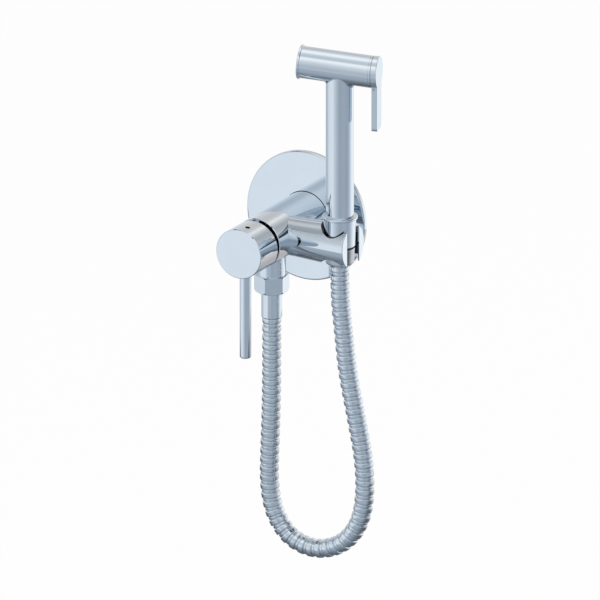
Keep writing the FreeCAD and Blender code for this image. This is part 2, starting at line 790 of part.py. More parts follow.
def inward(edge):
    """True for the two corners between the trigger's disc and its lever."""
    ends = [corner.Point for corner in edge.Vertexes]
    side = number("triggerWidth / 2")
    low, high = number("headEndHeight - headDia / 2"), number("headEndHeight")
    return (len(ends) == 2 and (ends[0] - ends[1]).y == 0 and abs(ends[0].z - ends[1].z) < SMALL
            and abs(abs(ends[0].y) - side) < SMALL and low < ends[0].z < high)


def hole_circle(radius, circle, count, low, high, start="0"):
    """Cylinders on a circle, for rows of nozzles."""
    bars = []
    for index in range(count):
        angle = "(%s + %d * 360 / %d) * 1 deg" % (start, index, count)
        bars.append(bar(radius, low, high, "(%s) * cos(%s)" % (circle, angle),
                        "(%s) * sin(%s)" % (circle, angle)))
    return bars


def face_pieces():
    """The spray end: lip ring, perforated face, gasket and flow disc."""
    window = "faceDia / 2 + sealFit"
    turned("face_ring", [
        (window, "-(headFront + lipThickness)"), ("lipDia / 2", "-(headFront + lipThickness)"),
        ("lipDia / 2", "-headFront"), ("boreFit", "-headFront"), ("boreFit", "faceBack - sealFit"),
        (window, "faceBack - sealFit")], "head",
           [("lipDia / 2", "-(headFront + lipThickness)", "edgeBreak"),
            ("lipDia / 2", "-headFront", "edgeBreak")])
    skirt = "faceDia / 2 - faceWall"
    cup = turned("FaceCup", [
        ("0", "faceFront"), ("faceDia / 2", "faceFront"), ("faceDia / 2", "faceBack"),
        ("boreFit", "faceBack"), ("boreFit", "flangeBack"), (skirt, "flangeBack"),
        (skirt, "faceFront + faceThickness"), ("0", "faceFront + faceThickness")])
    holes = [bar("nozzleDia / 2", "faceFront", "faceFront + faceThickness")]
    for row in range(1, int(SIZES["nozzleRows"]) + 1):
        circle = "%d * (%s - nozzleDia) / (nozzleRows + sealFit)" % (row, skirt)
        holes += hole_circle("nozzleDia / 2", circle, 6 * row, "faceFront", "faceFront + faceThickness")
    keep(cut(cup, holes, "spray_face"), "head")
    tube("spray_gasket", "boreFit", "boreFit - gasketRing", "flangeBack", "gasketBack", "head")
    disc = bar("boreFit", "gasketBack", "flowBack")
    count = int(SIZES["flowHoleCount"])
    wide = hole_circle("flowHoleDia / 2", "boreFit / 2", count, "gasketBack", "flowBack")
    keep(cut(disc, wide, "flow_disc"), "head")


def valve_pieces():
    """The shut-off valve in the head: seat, seal, stem, spring, gland and its ring."""
    lip = "seatBore / 2"
    wall = "chamberDia / 2 - seatFit"
    turned("valve_seat", [
        (lip, "seatFront"), (wall, "seatFront"), (wall, "seatBack - seatLip"),
        (lip + " + seatLip * 2", "seatBack - seatLip"), (lip + " + seatLip", "seatBack"),
        (lip, "seatBack")], "head")
    screw = "stemScrewDia / 2"
    tube("valve_seal", "sealDia / 2", screw + " + slipFit", "seatBack", "sealBack", "head")
    tip = "stemTipDia / 2"
    tip_end = "seatBack - stemTipLength"
    collar = "sealDia / 2 - stemCollarInset"
    shaft = "stemRodDia / 2"
    neck = "stemNeckDia / 2"
    shaft_end = "glandEnd + stemRodReach"
    stem = turned("StemShaft", [
        ("0", tip_end), (tip, tip_end), (tip, "seatBack"), (screw, "seatBack"), (screw, "sealBack"),
        (collar, "sealBack"), (collar, "stemCollarBack"), (shaft, "stemCollarBack"),
        (shaft, shaft_end), (neck, shaft_end + " + 1"), (neck, "ballX"), ("0", "ballX")])
    ball = doc.addObject("Part::Sphere", "StemBall")
    tie(ball, "Radius", "stemBallDia / 2")
    put(ball, "0", "0", "ballX")
    keep(joined([stem, ball], "valve_stem"), "head")

    low = number("stemCollarBack + springWire / 2 + slipFit")
    high = number("glandStart - springWire / 2 - slipFit")
    edges = coil_path(number("springDia / 2"), SIZES["springTurns"], low, high)
    along = edges[0].tangentAt(edges[0].FirstParameter)
    wire = Part.makeCircle(number("springWire / 2"), edges[0].firstVertex().Point, along)
    spring = doc.addObject("Part::Feature", "valve_spring")
    spring.Shape = Part.Wire(edges).makePipeShell([Part.Wire([wire])], True, False)
    keep(spring, "head")

    bore = "stemRodDia / 2 + slipFit"
    groove = bore + " + glandGrooveDepth"
    outer = "headBore / 2 - glandInset"
    low = "glandStart + glandGrooveStart"
    high = low + " + glandGrooveWidth"
    turned("stem_gland", [
        (bore, "glandStart"), (outer, "glandStart"), (outer, "glandEnd"), (bore, "glandEnd"),
        (bore, high), (groove, high), (groove, low), (bore, low)], "head")
    section = "glandGrooveDepth / 2 - seatFit"
    ring = torus(bore + " + glandGrooveDepth / 2", section, "0", "0", low + " + glandGrooveWidth / 2")
    keep(grouped([ring], "stem_o_ring"), "head")


def end_pieces():
    """The ring that closes the head, with the lug and pin on which the trigger swings."""
    ring = tube("EndRing", "headDia / 2", "bezelBore / 2", "headBack + partGap / 3", "bezelFace")
    spigot = tube("EndSpigot", "headBore / 2 - spigotInset", "bezelBore / 2",
                  "headBack - spigotLength", "bezelFace - edgeBreak")
    lug = [upright("lugDia / 2", "-lugWidth / 2", "lugWidth / 2", "pivotDrop", "pivotX"),
           block(("pivotDrop - lugDia / 2", "pivotDrop + lugDia / 2"),
                 ("-lugWidth / 2", "lugWidth / 2"), ("bezelFace - 1", "pivotX"))]
    hole = upright("pivotPinDia / 2", "-lugWidth", "lugWidth", "pivotDrop", "pivotX")
    keep(cut(joined([ring, spigot] + lug), [hole], "head_end_ring"), "bezel")
    reach = "triggerWidth / 2 - partGap"
    pin = upright("pivotPinDia / 2", "-(%s)" % reach, reach, "pivotDrop", "pivotX")
    keep(grouped([pin], "trigger_pin"), "bezel")


def trigger_piece():
    """The long flat trigger behind the head, parallel to the tube."""
    foot = "headEndHeight - triggerDrop"
    half = "triggerWidth / 2"
    depth = ("triggerBack", "triggerFront")
    inset = half + " - triggerCorner"
    strip = joined([
        across("headDia / 2", depth[0], depth[1], "0", "headEndHeight"),
        block(depth, ("-(%s)" % half, half), (foot + " + triggerCorner", "headEndHeight")),
        block(depth, ("-(%s)" % inset, inset), (foot, foot + " + triggerCorner + 1")),
        across("triggerCorner", depth[0], depth[1], "-(%s)" % inset, foot + " + triggerCorner"),
        across("triggerCorner", depth[0], depth[1], inset, foot + " + triggerCorner")])
    strip.Refine = True
    soft = soften(soften(strip, "triggerNeck", inward), "triggerEdge", outermost)
    hook = across("hookDia / 2", "triggerBack - hookDepth", "triggerBack + 1", "0", "headEndHeight")
    pocket = "lugDia / 2 + partGap"
    mouth = pocket + " + pocketFlare"
    ball = "stemBallDia / 2 + partGap"
    sides = ("-lugWidth / 2 - partGap", "lugWidth / 2 + partGap")
    neck = ("-stemNeckDia / 2 - partGap", "stemNeckDia / 2 + partGap")
    tools = [
        across_y(pocket, *sides),
        block(("triggerBack - 1", "pivotX"), sides, ("pivotZ - (%s)" % mouth, "pivotZ + " + mouth)),
        across_y("pivotPinDia / 2 + slipFit", "-triggerWidth", "triggerWidth"),
        block(("ballX - (%s)" % ball, "ballX + " + ball), ("-(%s)" % ball, ball),
              ("headEndHeight - ballRoom", "headEndHeight + ballRoom")),
        block(("triggerBack - hookDepth - 1", "ballX"), neck,
              ("headEndHeight - hookDia", "headEndHeight + hookSlotUp"))]
    keep(cut(joined([soft, hook]), tools, "trigger"), "spray")


def across_y(radius, low, high):
    """A cylinder along the trigger's pivot."""
    return upright(radius, low, high, "pivotX", "pivotZ")


def cartridge_pieces():
    """The ceramic cartridge: housing, discs, driver, turret, spindle, seals and nut."""
    base = "housingRear"
    outer = "housingDia / 2"
    groove = outer + " - housingRingDepth"
    ring_end = "housingRingOut + housingRingWidth"
    shoulder = "cavityRadius - partGap"
    shoulder_rear = "shoulderOut - shoulderThickness"
    shell = turned("HousingShell", [
        ("0", base), (outer, base), (outer, "housingRingOut"), (groove, "housingRingOut"),
        (groove, ring_end), (outer, ring_end), (outer, shoulder_rear), (shoulder, shoulder_rear),
        (shoulder, "shoulderOut"), ("neckDia / 2", "shoulderOut"), ("neckDia / 2", "neckOut"),
        ("neckBore / 2", "neckOut"), ("neckBore / 2", "turretRear"),
        ("housingBore / 2", "turretRear"), ("housingBore / 2", "discSeat"), ("0", "discSeat")])
    tools = [bar("discPortDia / 2", base + " + housingBase / 3", "discSeat"),
             upright("crossDrillDia / 2", "-housingDia", "0", "0", base + " + housingBase / 2")]
    seals = []
    for sign in ("-1", "1"):
        place = sign + " * portSpacing / 2"
        tools.append(bar("basePortDia / 2", base, "discSeat", place))
        walls = [bar("basePortDia / 2 + " + wall, base, base + " + baseSealDepth", place)
                 for wall in ("basePortWall + sealFit", "sealFit")]
        tools.append(cut(walls[0], walls[1:]))
        seals.append(torus("basePortDia / 2 + basePortWall / 2 + sealFit", "(basePortWall - partGap) / 2",
                           place, "0", "cavityFloor + (partGap + baseSealDepth) / 2"))
    keep(cut(shell, tools, "cartridge_housing"), "out")
    keep(grouped(seals, "cartridge_seals"), "out")
    pressed_ring("cartridge_o_ring", groove + " + seatFit", "cavityRadius - seatFit",
                 "housingRingOut + sealFit", ring_end + " - sealFit")

    plate = bar("discDia / 2", "discSeat", "discMeet")
    ports = [bar("discPortDia / 2", "discSeat", "discMeet", place)
             for place in ("0", "-portSpacing / 2", "portSpacing / 2")]
    keep(cut(plate, ports, "fixed_ceramic_disc"), "out")
    slider = bar("movingDiscDia / 2", "discMeet", "driverSeat")
    recess = block(("-movingDiscDia * 0.3", "movingDiscDia * 0.3"),
                   ("-discPassWidth / 2", "discPassWidth / 2"), ("discMeet", "discMeet + discPassDepth"))
    keep(cut(slider, [recess], "moving_ceramic_disc"), "out")
    cup = "tailBallDia / 2 + drillPlay"
    top = "tailBallOut + 2"
    turned("disc_driver", [
        ("0", "driverSeat"), ("movingDiscDia / 2", "driverSeat"), ("movingDiscDia / 2", "hubSeat"),
        ("driverHubDia / 2", "hubSeat"), ("driverHubDia / 2", top), (cup, top),
        (cup, "tailBallOut - 4"), ("0", "tailBallOut - 4")], "out")

    drum = bar("neckBore / 2 - slipFit", "turretRear + sealFit", "turretOut")
    tools = [block(("-driverHubDia / 2 - 0.5", "driverHubDia / 2 + 0.5"),
                   ("-driverHubDia / 2 - 3.6", "driverHubDia / 2 + 3.6"), ("turretRear", top + " + 1")),
             block(("-spindleSide / 2 - drillPlay", "spindleSide / 2 + drillPlay"),
                   ("-spindleSide / 2 - 3", "spindleSide / 2 + 3"), (top, "turretOut")),
             across("leverPinDia / 2", "-neckBore / 2", "neckBore / 2", "0", "pivotOut")]
    keep(cut(drum, tools, "cartridge_turret"), "out")
    pin = across("leverPinDia / 2", "-neckBore / 2 + partGap", "neckBore / 2 - partGap", "0", "pivotOut")
    keep(grouped([pin], "lever_pin"), "out")
    inner = "neckDia / 2 + drillPlay"
    thread = "cavityRadius - threadFit"
    top = "shoulderOut + nutRingHeight"
    turned("cartridge_nut", [(inner, "shoulderOut"), (thread, "shoulderOut"),
                             (thread, top + " - edgeBreak"), (thread + " - edgeBreak", top),
                             (inner, top)], "out")

    side = "spindleSide / 2"
    shank = block(("-(%s)" % side, side), ("-(%s)" % side, side), ("tailBallOut + 4", "spindleEnd"))
    neck = bar("tailNeckDia / 2", "tailBallOut", "tailBallOut + 4.5")
    ball = doc.addObject("Part::Sphere", "TailBall")
    tie(ball, "Radius", "tailBallDia / 2")
    put(ball, "0", "0", "tailBallOut")
    eye = across("leverPinDia / 2 + slipFit", "-spindleSide", "spindleSide", "0", "pivotOut")
    keep(cut(joined([shank, neck, ball]), [eye], "lever_spindle"), "out")


def handle_pieces():
    """The cap with its slanted rear edge, the straight lever and the grub screw."""
    blank = turned("CapBlank", [
        ("capInner", "capRear"), ("bodyRadius", "capRear"), ("bodyRadius", "capFront - edgeBreak"),
        ("bodyRadius - edgeBreak", "capFront"), ("0", "capFront"), ("0", "webOut"),
        ("capInner", "webOut")])
    slant = doc.addObject("Part::Box", "Slant")
    tie(slant, "Length", "bodyDia + 10")
    tie(slant, "Width", "bodyDia + 10")
    tie(slant, "Height", "bodyRadius")
    put(slant, "-(bodyRadius + 5)", "-bodyRadius + bodyRadius * sin(capTilt)",
        "capRear - bodyRadius * cos(capTilt)", "rotationx(capTilt)")
    socket = "spindleSide / 2 + seatFit"
    grub = doc.addObject("Part::Cylinder", "GrubHole")
    tie(grub, "Radius", "grubDia / 2 + seatFit")
    tie(grub, "Height", "bodyRadius + 1 - spindleSide / 2")
    put(grub, "sin(grubTurn) * spindleSide / 2", "cos(grubTurn) * spindleSide / 2", "grubOut",
        "rotationz(-grubTurn) * rotationx(-90)")
    tools = [
        slant,
        block(("-(%s)" % socket, socket), ("-(%s)" % socket, socket),
              ("webOut - 1", "spindleEnd + drillPlay")),
        upright("rodThread / 2 + seatFit", "-bodyRadius", "-(rodSeat - rodThreadLength)", "0", "rodOut"),
        upright("rodDia / 2 + seatFit", "-bodyRadius - 1", "-rodSeat", "0", "rodOut"),
        grub]
    keep(cut(blank, tools, "handle_cap"), "out")
    turned("lever_rod", [
        ("0", "rodSeat - rodThreadLength"), ("rodThread / 2", "rodSeat - rodThreadLength"),
        ("rodThread / 2", "rodSeat"), ("rodDia / 2", "rodSeat"), ("rodDia / 2", "rodEnd"),
        ("0", "rodEnd")], "lever", [("rodDia / 2", "rodEnd", "rodRound")])
    outer = "grubStart + grubLength"
    screw = bar("grubDia / 2", "grubStart", outer)
    key = hexagon("grubKey", outer + " - grubKeyDepth", outer)
    keep(cut(screw, [key], "cap_grub_screw"), "grub")


def bend(start, corner, end):
    """The arc whose end tangents meet at the corner, and its radius."""
    into = (corner - start).normalize()
    out = (end - corner).normalize()
    half = into.getAngle(out) / 2
    radius = (corner - start).Length / math.tan(half)
    inward = (out - into).normalize()
    middle = corner + inward * (radius / math.cos(half) - radius)
    return Part.Arc(start, middle, end).toShape(), radius


def coil_path(radius, turns, low, high):
    """A coil about Z as pairs of tangent arcs, two pairs to a turn."""
    slope = (high - low) / (2 * math.pi * radius * turns)
    stops = []
    for index in range(int(turns * 2) + 1):
        side = (-1) ** index
        place = FreeCAD.Vector(side * radius, 0, low + (high - low) * index / (turns * 2))
        stops.append((place, FreeCAD.Vector(0, side, slope).normalize()))
    edges = []
    for (first, away), (second, into) in zip(stops, stops[1:]):
        chord = second - first
        spread = 2 * (1 - away.dot(into))
        forward = 2 * chord.dot(away + into)
        leg = (math.sqrt(forward ** 2 + 4 * spread * chord.dot(chord)) - forward) / (2 * spread)
        corners = first + away * leg, second - into * leg
        middle = (corners[0] + corners[1]) * 0.5
        edges += [bend(first, corners[0], middle)[0], bend(middle, corners[1], second)[0]]
    return edges


def rounded_path(points):
    """Straight runs joined by tangent arcs, as edges, with the radii of the arcs."""
    spots = [FreeCAD.Vector(*point) for point in points]
    edges = []
    radii = []
    last = spots[0]
    for before, corner, after in zip(spots, spots[1:], spots[2:]):
        into = (corner - before).normalize()
        out = (after - corner).normalize()
        reach = BEND_SHARE * min((corner - before).Length, (after - corner).Length)
        start = corner - into * reach
        end = corner + out * reach
        arc, radius = bend(start, corner, end)
        edges += [Part.makeLine(last, start), arc]
        radii.append(radius)
        last = end
    edges.append(Part.makeLine(last, spots[-1]))
    return edges, radii


def station(edges, distance):
    """The place and direction at this distance along the path."""
    for edge in edges:
        if distance <= edge.Length + SMALL:
            break
        distance -= edge.Length
    at = edge.getParameterByLength(min(max(distance, 0.0), edge.Length))
    return edge.valueAt(at), edge.tangentAt(at).normalize()


def hoop(edges, distance, radius):
    """A circle square to the path, whose X axis keeps to one side of the hose."""
    place, along = station(edges, distance)
    side = FreeCAD.Vector(0, 1, 0)
    side = (side - along * side.dot(along)).normalize()
    turn = FreeCAD.Rotation(side, along.cross(side), along, "ZXY")
    ring = Part.makeCircle(radius)
    ring.Placement = FreeCAD.Placement(place, turn)
    return Part.Wire([ring])


def hose_pieces():
    """The ribbed metal hose and the plain rubber tube inside it."""
    edges, radii = rounded_path(HOSE_ROUTE)
    length = sum(edge.Length for edge in edges)
    outer = number("hoseDia / 2")
    groove = number("hoseGrooveDia / 2")
    bore = number("hoseBoreDia / 2")
    count = int(SIZES["ribCount"])
    pitch = length / (count + 1 - SIZES["ribShare"])
    rib = pitch * SIZES["ribShare"]
    wall = [hoop(edges, 0.0, groove)]
    lining = [hoop(edges, 0.0, bore)]
    slope = rib * SIZES["ribFlank"]
    for index in range(count):
        start = pitch * (1 - SIZES["ribShare"]) * 0.5 + pitch * index
        wall.append(hoop(edges, start, groove))
        wall.append(hoop(edges, start + slope, outer))
        wall.append(hoop(edges, start + rib - slope, outer))
        wall.append(hoop(edges, start + rib, groove))
        lining.append(hoop(edges, start, bore))
        lining.append(hoop(edges, start + rib, bore))
    wall.append(hoop(edges, length, groove))
    lining.append(hoop(edges, length, bore))
    solid = Part.makeLoft(wall, True, True).cut(Part.makeLoft(lining, True, True))
    hose = doc.addObject("Part::Feature", "hose")
    hose.Shape = solid
    parts.append(hose)

    # The inner tube starts higher, over the barb of the tail in the ferrule.
    start = FreeCAD.Vector(*HOSE_ROUTE[0])
    start.z = -number("ferruleTop + partGap")
    edges = [Part.makeLine(start, edges[0].lastVertex().Point)] + edges[1:]
    path = Part.Wire(edges)
    run = sum(edge.Length for edge in edges)
    radius = number("linerTubeRadius")
    inner = radius - SIZES["linerWall"]
    skins = [path.makePipeShell([hoop(edges, 0.0, size)], True, False) for size in (radius, inner)]
    liner = doc.addObject("Part::Feature", "hose_inner_tube")
    liner.Shape = skins[0].cut(skins[1])
    parts.append(liner)

    section = math.pi * (radius ** 2 - inner ** 2)
    print("hose length %.1f, radii %s" % (length, ", ".join("%.0f" % r for r in radii)))
    print("inner tube volume %.0f, section times length %.0f" % (liner.Shape.Volume, section * run))
    flank = (groove ** 2 + groove * outer + outer ** 2) / 3
    ribs = count * (outer ** 2 * (rib - 2 * slope) + flank * 2 * slope - groove ** 2 * rib)
    expected = math.pi * (ribs + (groove ** 2 - bore ** 2) * length)
    print("hose volume %.0f, sections times lengths %.0f" % (hose.Shape.Volume, expected))
    print("rib pitch %.2f, least gap of the hose to itself %.1f" % (pitch, least_gap(edges, length)))


def least_gap(edges, length):
    """The smallest free distance between stretches of the hose far apart along it."""
    step = number("hoseDia / 2")
    spots = [station(edges, index * step)[0] for index in range(int(length / step))]
    gaps = [(first - second).Length - number("hoseDia")
            for index, first in enumerate(spots) for second in spots[index + 8:]]
    return min(gaps)


def check_document():
    """Stop on any failed object or any sub-part without a good shape."""
    doc.recompute()
    for thing in doc.Objects:
        if {"Invalid", "Error"} & set(thing.State):
            raise RuntimeError("%s failed: %s" % (thing.Label, thing.getStatusString()))
    for thing in parts:
        if thing.Shape.isNull() or not thing.Shape.isValid() or not thing.Shape.Solids:
            raise RuntimeError("%s has no valid solid" % thing.Label)


def export():
    os.makedirs("parts", exist_ok=True)
    for thing in parts:
        thing.Shape.exportStep("parts/%s.step" % thing.Label)
        print("%-22s %d solid, %9.1f mm3" % (thing.Label, len(thing.Shape.Solids), thing.Shape.Volume))


wall_pieces()
mixer_body()
cartridge_pieces()
handle_pieces()
outlet_pieces()
arm_pieces()
cone_nut_pieces()
spray_body()
face_pieces()
valve_pieces()
end_pieces()
trigger_piece()
hose_pieces()
check_document()
export()
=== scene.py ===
import json
import math

import bpy
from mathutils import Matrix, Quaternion, Vector


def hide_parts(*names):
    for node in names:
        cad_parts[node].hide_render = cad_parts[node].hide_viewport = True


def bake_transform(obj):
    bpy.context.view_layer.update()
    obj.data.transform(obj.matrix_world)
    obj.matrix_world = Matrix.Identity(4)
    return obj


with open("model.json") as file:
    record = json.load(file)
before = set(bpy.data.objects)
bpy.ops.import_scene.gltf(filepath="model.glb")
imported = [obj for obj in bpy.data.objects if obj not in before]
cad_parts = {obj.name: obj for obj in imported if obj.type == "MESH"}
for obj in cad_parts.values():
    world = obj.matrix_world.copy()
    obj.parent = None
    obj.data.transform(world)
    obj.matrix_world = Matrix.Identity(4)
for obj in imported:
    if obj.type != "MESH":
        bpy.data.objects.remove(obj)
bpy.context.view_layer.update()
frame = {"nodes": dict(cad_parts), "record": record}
print("frame loaded:", len(frame["nodes"]), "nodes")


def linear(hexColour):
    # the linear values of an sRGB hex colour, with full alpha
    channels = [int(hexColour[i:i + 2], 16) / 255 for i in (1, 3, 5)]
    return [c / 12.92 if c <= 0.04045 else ((c + 0.055) / 1.055) ** 2.4 for c in channels] + [1.0]


def addNode(tree, kind, settings=None, inputs=None, stops=None):
    # one node with its settings; an input is a value or the socket it is linked to,
    # and the stops of a colour ramp are places with their hex colours
    node = tree.nodes.new(kind)
    for name, value in (settings or {}).items():
        setattr(node, name, value)
    for name, value in (inputs or {}).items():
        if isinstance(value, bpy.types.NodeSocket):
            tree.links.new(value, node.inputs[name])
        else:
            node.inputs[name].default_value = value
    if stops:
        elements = node.color_ramp.elements
        while len(elements) < len(stops):
            elements.new(1.0)
        for element, (position, hexColour) in zip(elements, stops):
            element.position = position
            element.color = linear(hexColour)
    return node


def startMaterial(name):
    material = bpy.data.materials.new(name)
    material.use_nodes = True
    material.node_tree.nodes.clear()
    return material, material.node_tree


def addSurface(tree, look, stain, relief, own):
    # tone and polish follow the stain between two of its levels; the fine relief is only shaded
    low, high = look["stainLevels"]
    tone = addNode(tree, "ShaderNodeValToRGB", None, {"Fac": stain.outputs["Fac"]},
                   [(low, look["light"]), (high, look["dark"])])
    polish = addNode(tree, "ShaderNodeMapRange", None,
                     {"Value": stain.outputs["Fac"], "From Min": low, "From Max": high,
                      "To Min": look["roughness"][0], "To Max": look["roughness"][1]})
    bump = addNode(tree, "ShaderNodeBump", None,
                   {"Height": relief.outputs["Fac"], "Distance": look["reliefHeight"],
                    "Strength": look["reliefStrength"]})
    shader = addNode(tree, "ShaderNodeBsdfPrincipled", None,
                     {"Base Color": tone.outputs["Color"], "Roughness": polish.outputs["Result"],
                      "Normal": bump.outputs["Normal"], **own})
    addNode(tree, "ShaderNodeOutputMaterial", None, {"Surface": shader.outputs["BSDF"]})


# Materials of the shower. Sizes are in metres: a texture's scale is one over the size of its pattern.
chromeFinish = {
    # bright chrome over nickel on turned and polished brass: a cool mirror, with faint wipe marks
    "polishedChrome": {"light": "#DFE7EE", "dark": "#DCE4EC", "roughness": (0.03, 0.055),
                       "smear": 0.022, "ripple": 0.006, "reliefHeight": 0.0000006},
    # chromed brass strip, rolled and then formed into ribs: a finer sheen
    "rolledChromeStrip": {"light": "#E4EBF1", "dark": "#D8E0E8", "roughness": (0.1, 0.15),
                          "smear": 0.004, "ripple": 0.0012, "reliefHeight": 0.000003},
    # bare stainless steel, pressed or turned: greyer and a little softer than chrome
    "turnedStainless": {"light": "#C4C6C8", "dark": "#B2B4B7", "roughness": (0.18, 0.3),
                        "smear": 0.003, "ripple": 0.0006, "reliefHeight": 0.000004},
}
chromeLevels = {"stainLevels": (0.35, 0.7), "reliefStrength": 1.0}


def makeChrome(name, look):
    material, tree = startMaterial(name)
    place = addNode(tree, "ShaderNodeTexCoord").outputs["Object"]
    smear = addNode(tree, "ShaderNodeTexNoise", None,
                    {"Vector": place, "Scale": 1 / look["smear"], "Detail": 4.0, "Roughness": 0.6})
    ripple = addNode(tree, "ShaderNodeTexNoise", None,
                     {"Vector": place, "Scale": 1 / look["ripple"], "Detail": 1.0})
    addSurface(tree, {**look, **chromeLevels}, smear, ripple, {"Metallic": 1.0})
    return material


# unplated machining brass: warm and satin, with the fine rings that the tool leaves
brassFinish = {"light": "#D0B374", "dark": "#B08F52", "roughness": (0.24, 0.42),
               "stain": 0.009, "stainLevels": (0.3, 0.75),
               "feed": 0.0005, "reliefHeight": 0.00001, "reliefStrength": 0.6}
wavePeriod = 0.314  # of the wave texture at a scale of 1


def makeBrass(name, look):
    material, tree = startMaterial(name)
    place = addNode(tree, "ShaderNodeTexCoord").outputs["Object"]
    stain = addNode(tree, "ShaderNodeTexNoise", None,
                    {"Vector": place, "Scale": 1 / look["stain"], "Detail": 6.0, "Roughness": 0.65})
    rings = addNode(tree, "ShaderNodeTexWave", {"wave_type": "BANDS", "bands_direction": "Y"},
                    {"Vector": place, "Scale": wavePeriod / look["feed"], "Distortion": 0.6,
                     "Detail": 1.0})
    addSurface(tree, look, stain, rings, {"Metallic": 1.0})
    return material


mouldedFinish = {
    # acetal, moulded: slippery black or white plastic with a faint spark-eroded grain
    "blackAcetal": {"light": "#1B1C1E", "dark": "#121315", "roughness": (0.32, 0.45), "ior": 1.48,
                    "mottle": 0.006, "grain": 0.0006, "reliefHeight": 0.00002},
    "whiteAcetal": {"light": "#F0EFEA", "dark": "#E3E2DC", "roughness": (0.34, 0.48), "ior": 1.48,
                    "mottle": 0.008, "grain": 0.0006, "reliefHeight": 0.00002},
    # alumina, fired and lapped flat: dense cream white with a tight gloss
    "lappedAlumina": {"light": "#F2EFE6", "dark": "#E9E5DA", "roughness": (0.12, 0.2), "ior": 1.76,
                      "mottle": 0.004, "grain": 0.0003, "reliefHeight": 0.000004},
    # nitrile rubber, moulded: dull near-black with a dusty bloom
    "nitrileRubber": {"light": "#26272A", "dark": "#17181A", "roughness": (0.6, 0.78), "ior": 1.52,
                      "mottle": 0.005, "grain": 0.0008, "reliefHeight": 0.00003},
}
mouldedLevels = {"stainLevels": (0.35, 0.7), "reliefStrength": 0.5}


def makeMoulded(name, look):
    material, tree = startMaterial(name)
    place = addNode(tree, "ShaderNodeTexCoord").outputs["Object"]
    mottle = addNode(tree, "ShaderNodeTexNoise", None,
                     {"Vector": place, "Scale": 1 / look["mottle"], "Detail": 5.0})
    grain = addNode(tree, "ShaderNodeTexNoise", None,
                    {"Vector": place, "Scale": 1 / look["grain"], "Detail": 2.0})
    addSurface(tree, {**look, **mouldedLevels}, mottle, grain, {"IOR": look["ior"]})
    return material


finishes = {name: makeChrome(name, look) for name, look in chromeFinish.items()}
finishes.update({name: makeMoulded(name, look) for name, look in mouldedFinish.items()})
finishes["machinedBrass"] = makeBrass("machinedBrass", brassFinish)

# which finish each material slot of the source gets
finishOfSlot = {
    "chrome_plate": "polishedChrome",
    "hose_metal": "rolledChromeStrip",
    "brass": "machinedBrass",
    "stainless_steel": "turnedStainless",
    "black_plastic": "blackAcetal",
    "white_plastic": "whiteAcetal",
    "ceramic": "lappedAlumina",
    "black_rubber": "nitrileRubber",
    "inner_hose_rubber": "nitrileRubber",
}
slotOfNode = {entry["node"]: entry["material_slot"] for entry in frame["record"]["subparts"]}
for node, part in frame["nodes"].items():
    for slot in part.material_slots:
        slot.material = finishes[finishOfSlot[slotOfNode[node]]]
print("materials:", len(finishes))


def newObject(name, content):
    thing = bpy.data.objects.new(name, content)
    bpy.context.scene.collection.objects.link(thing)
    return thing


# The ribbed hose: plain rings, each a wide raised band and a sunk one.
hose = {
    # the route in millimetres, from the outlet ferrule round the loop to the hand spray
    "route": [
        (0.0, -57.5, -66.5), (0.0, -57.5, -96.0), (-0.5, -57.2, -138.0), (-2.2, -56.8, -176.0),
        (-3.2, -56.4, -206.0), (1.5, -56.0, -230.0), (15.5, -55.4, -248.0), (37.5, -54.6, -254.2),
        (60.5, -53.7, -246.5), (75.5, -52.9, -228.0), (80.7, -52.3, -203.0), (79.0, -51.8, -172.0),
        (72.0, -51.3, -140.0), (63.5, -50.9, -102.0), (60.2, -50.7, -71.0), (56.6, -50.5, -42.5),
        (56.6, -50.5, -14.5)],
    "smoothness": 64,  # points of the smooth line between two of the route's
    "diameter": 0.015,
    "length": 0.470,
    "ribs": 65,  # the rings from end to end, each 7.2 mm
    "steps": 48,  # how finely one ring's width is divided
    "sides": 64,
    # the section over one ring: how far along, in steps, and the radius there
    "section": [(0, 0.0057), (2, 0.0057), (3, 0.0071), (4, 0.00736), (6, 0.00748), (9, 0.0075),
                (16, 0.0075), (24, 0.0075), (27, 0.00748), (29, 0.00736), (30, 0.0071), (31, 0.0057),
                (33, 0.0057), (34, 0.0064), (35, 0.00664), (37, 0.0067), (44, 0.0067), (46, 0.00664),
                (47, 0.0064)],
    "pathStep": 16,  # steps between two points of the path that buildHose returns
}


def routeLine(route, smoothness):
    # the smooth line through the route, read from a NURBS curve without a bevel
    curve = bpy.data.curves.new("hoseRoute", "CURVE")
    curve.dimensions = "3D"
    spline = curve.splines.new("NURBS")
    spline.points.add(len(route) - 1)
    for point, spot in zip(spline.points, route):
        point.co = [value / 1000 for value in spot] + [1.0]
    spline.order_u = 3
    spline.use_endpoint_u = True
    spline.resolution_u = smoothness
    holder = newObject("hoseRoute", curve)
    bpy.context.view_layer.update()
    line = bpy.data.meshes.new_from_object(holder.evaluated_get(bpy.context.evaluated_depsgraph_get()))
    spots = [vertex.co.copy() for vertex in line.vertices]
    bpy.data.objects.remove(holder)
    bpy.data.curves.remove(curve)
    bpy.data.meshes.remove(line)
    return spots


def evenSpots(line, count):
    # the same line at equal steps, with its length
    reach = [0.0]
    for first, second in zip(line, line[1:]):
        reach.append(reach[-1] + (second - first).length)
    spots = []
    index = 0
    for step in range(count + 1):
        wanted = reach[-1] * step / count
        while index < len(line) - 2 and reach[index + 1] < wanted:
            index += 1
        share = (wanted - reach[index]) / (reach[index + 1] - reach[index])
        spots.append(line[index].lerp(line[index + 1], share))
    return spots, reach[-1]


